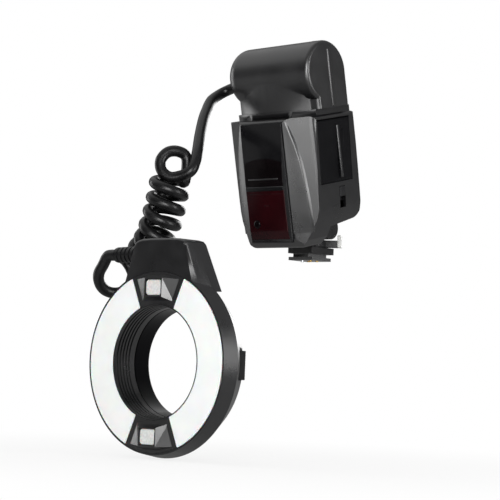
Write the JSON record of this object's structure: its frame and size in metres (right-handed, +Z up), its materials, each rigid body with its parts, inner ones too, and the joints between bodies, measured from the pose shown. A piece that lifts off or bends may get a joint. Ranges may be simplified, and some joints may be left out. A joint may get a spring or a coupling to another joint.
{
  "type": "macro ring flash",
  "caption": "Ring-shaped macro flash head with white diffusers, joined by a curly cord to a black shoe-mounted control unit with battery door, display and keys.",
  "frame": {"origin": "centre of the shoe foot's underside", "axes": "+Z up out of the shoe, -Y forward towards the subject, +X to the right seen from behind"},
  "size_m": [0.1213, 0.1495, 0.2469],
  "materials": {
    "black_plastic": "fine moulded texture",
    "key_rubber": "satin moulding",
    "cord_rubber": "smooth satin jacket",
    "smoked_window": "polished smoked acrylic",
    "red_window": "polished deep red acrylic",
    "diffuser": "frosted white",
    "tube_glass": "clear",
    "bright_metal": "satin",
    "anodised_black": "black anodised, turned",
    "steel": "plain",
    "reflector": "bright",
    "brass": "plated",
    "circuit_board": "solder mask",
    "display": "grey-green display",
    "battery_jacket": "printed jacket, left plain",
    "capacitor_sleeve": "shrink sleeve",
    "light_grey_plastic": "satin"
  },
  "bodies": {
    "control_unit": {"front_shell": "black_plastic", "rear_shell": "black_plastic", "visor": "black_plastic", "upper_window": "smoked_window", "red_window": "red_window", "sensor_lens": "smoked_window", "assist_lamp": "tube_glass", "head_shell": "black_plastic", "head_end_cap": "black_plastic", "flash_capacitor": "capacitor_sleeve", "cord_gland": "cord_rubber", "main_board": "circuit_board", "battery_holder": "black_plastic", "batteries": "battery_jacket", "battery_contacts": "steel", "hinge_pin": "steel", "lcd_window": "smoked_window", "lcd_module": "display", "key_board": "circuit_board", "case_screws": "steel", "foot_bracket": "black_plastic", "foot_base": "black_plastic", "shoe_foot": "bright_metal", "foot_screws": "steel", "cord_lead": "cord_rubber", "cord_coil": "cord_rubber", "adapter_ring": "anodised_black"},
    "ring_head": {"cord_boot": "cord_rubber", "ring_front_shell": "black_plastic", "ring_rear_shell": "black_plastic", "left_diffuser": "diffuser", "right_diffuser": "diffuser", "top_bezel": "black_plastic", "bottom_bezel": "black_plastic", "led_lamps": "diffuser", "left_flash_tube": "tube_glass", "right_flash_tube": "tube_glass", "left_reflector": "reflector", "right_reflector": "reflector", "bore_baffle": "black_plastic", "ring_board": "circuit_board", "ring_screws": "steel"},
    "left_release": {"left_release": "key_rubber", "left_latch_plate": "steel"},
    "right_release": {"right_release": "key_rubber", "right_latch_plate": "steel"},
    "battery_door": {"battery_door": "black_plastic", "door_contacts": "steel"},
    "door_latch": {"door_latch": "key_rubber"},
    "lock_lever": {"lock_lever": "key_rubber", "lever_tip": "light_grey_plastic"},
    "lock_pin": {"lock_pin": "steel"},
    "contact_pins": {"contact_pins": "brass"},
    "power_switch": {"power_switch": "key_rubber"},
    "mode_key": {"mode_key": "key_rubber"},
    "lamp_key": {"lamp_key": "key_rubber"},
    "minus_key": {"minus_key": "key_rubber"},
    "set_key": {"set_key": "key_rubber"},
    "plus_key": {"plus_key": "key_rubber"},
    "test_key": {"test_key": "key_rubber"}
  },
  "joints": [
    {"name": "ring_turn", "type": "hinge", "parent": "control_unit", "child": "ring_head", "pos_m": [0, -0.115, -0.0655], "axis": [0, 1, 0], "range_deg": [-30, 30], "deforming": ["cord_coil"]},
    {"name": "right_release_press", "type": "slide", "parent": "ring_head", "child": "right_release", "axis": [-1, 0, 0], "range_m": [0, 0.0016], "stiffness_N_per_m": 300, "springref_m": -0.0002},
    {"name": "left_release_press", "type": "slide", "parent": "ring_head", "child": "left_release", "axis": [1, 0, 0], "range_m": [0, 0.0016], "stiffness_N_per_m": 300, "springref_m": -0.0002},
    {"name": "battery_door_swing", "type": "hinge", "parent": "control_unit", "child": "battery_door", "pos_m": [0.0313, -0.02335, 0.08113], "axis": [0, -0.9744, -0.225], "range_deg": [0, 95]},
    {"name": "door_latch_slide", "type": "slide", "parent": "control_unit", "child": "door_latch", "axis": [0, 0.225, -0.9744], "range_m": [0, 0.005]},
    {"name": "lock_lever_turn", "type": "hinge", "parent": "control_unit", "child": "lock_lever", "pos_m": [0, 0, 0.0106], "axis": [0, 0, 1], "range_deg": [0, 70]},
    {"name": "lock_pin_rise", "type": "slide", "parent": "control_unit", "child": "lock_pin", "axis": [0, 0, 1], "range_m": [0, 0.0013]},
    {"name": "contact_pins_press", "type": "slide", "parent": "control_unit", "child": "contact_pins", "axis": [0, 0, 1], "range_m": [0, 0.0005], "stiffness_N_per_m": 300, "springref_m": -0.0002},
    {"name": "power_switch_slide", "type": "slide", "parent": "control_unit", "child": "power_switch", "axis": [1, 0, 0], "range_m": [0, 0.0045]},
    {"name": "mode_key_press", "type": "slide", "parent": "control_unit", "child": "mode_key", "axis": [0, -0.9744, -0.225], "range_m": [0, 0.0008], "stiffness_N_per_m": 300, "springref_m": -0.0002},
    {"name": "lamp_key_press", "type": "slide", "parent": "control_unit", "child": "lamp_key", "axis": [0, -0.9744, -0.225], "range_m": [0, 0.0008], "stiffness_N_per_m": 300, "springref_m": -0.0002},
    {"name": "minus_key_press", "type": "slide", "parent": "control_unit", "child": "minus_key", "axis": [0, -0.9744, -0.225], "range_m": [0, 0.0008], "stiffness_N_per_m": 300, "springref_m": -0.0002},
    {"name": "set_key_press", "type": "slide", "parent": "control_unit", "child": "set_key", "axis": [0, -0.9744, -0.225], "range_m": [0, 0.0008], "stiffness_N_per_m": 300, "springref_m": -0.0002},
    {"name": "plus_key_press", "type": "slide", "parent": "control_unit", "child": "plus_key", "axis": [0, -0.9744, -0.225], "range_m": [0, 0.0008], "stiffness_N_per_m": 300, "springref_m": -0.0002},
    {"name": "test_key_press", "type": "slide", "parent": "control_unit", "child": "test_key", "axis": [0, -0.9744, -0.225], "range_m": [0, 0.0008], "stiffness_N_per_m": 300, "springref_m": -0.0002}
  ],
  "couplings": [
    {"joint": "lock_pin_rise", "follows": "lock_lever_turn", "m_per_rad": 0.00106}
  ]
}
